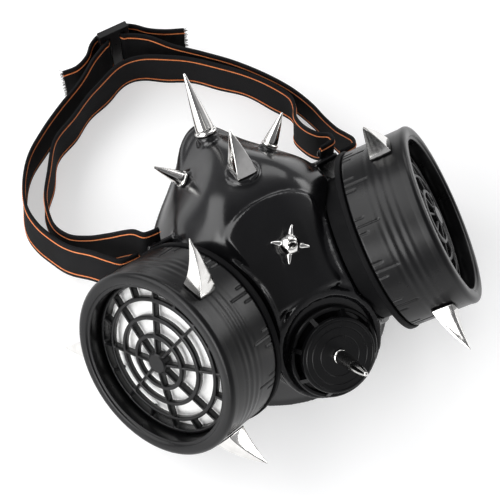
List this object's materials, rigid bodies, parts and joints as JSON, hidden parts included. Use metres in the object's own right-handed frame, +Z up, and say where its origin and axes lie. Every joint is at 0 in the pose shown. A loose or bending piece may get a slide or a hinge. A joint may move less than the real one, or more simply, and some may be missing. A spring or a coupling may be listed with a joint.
{
  "type": "steampunk half mask",
  "caption": "Moulded half mask with round filter canisters on its sides, a chin valve, chrome spikes and an elastic head strap, lying on its face rim.",
  "frame": {"origin": "under the middle of the box, on the surface that the mask lies on", "axes": "+X across the face, +Y from the chin to the nose and on to the head strap, +Z up, to the front of the mask"},
  "size_m": [0.198, 0.2424, 0.1079],
  "materials": {
    "gloss_pvc": "glossy moulded black",
    "satin_plastic": "satin black",
    "chrome": "polished",
    "pad": "white felt",
    "elastic": "ribbed black elastic with two thin orange stripes",
    "buckle_plastic": "moulded black"
  },
  "bodies": {
    "root": {"mask_shell": "gloss_pvc", "valve_cover": "satin_plastic", "valve_spike": "chrome", "nose_cone_spike": "chrome", "side_cone_spike_left": "chrome", "side_cone_spike_right": "chrome", "nose_claw_spike": "chrome", "star_stud": "chrome", "canister_base_left": "satin_plastic", "canister_cover_left": "satin_plastic", "canister_grille_left": "satin_plastic", "filter_pad_left": "pad", "canister_spike_left_a": "chrome", "canister_spike_left_b": "chrome", "canister_spike_left_c": "chrome", "canister_base_right": "satin_plastic", "canister_cover_right": "satin_plastic", "canister_grille_right": "satin_plastic", "filter_pad_right": "pad", "canister_spike_right_a": "chrome", "canister_spike_right_b": "chrome", "canister_spike_right_c": "chrome", "strap_inner": "elastic", "strap_outer_left": "elastic", "strap_outer_right": "elastic", "strap_buckle": "buckle_plastic"}
  },
  "joints": []
}
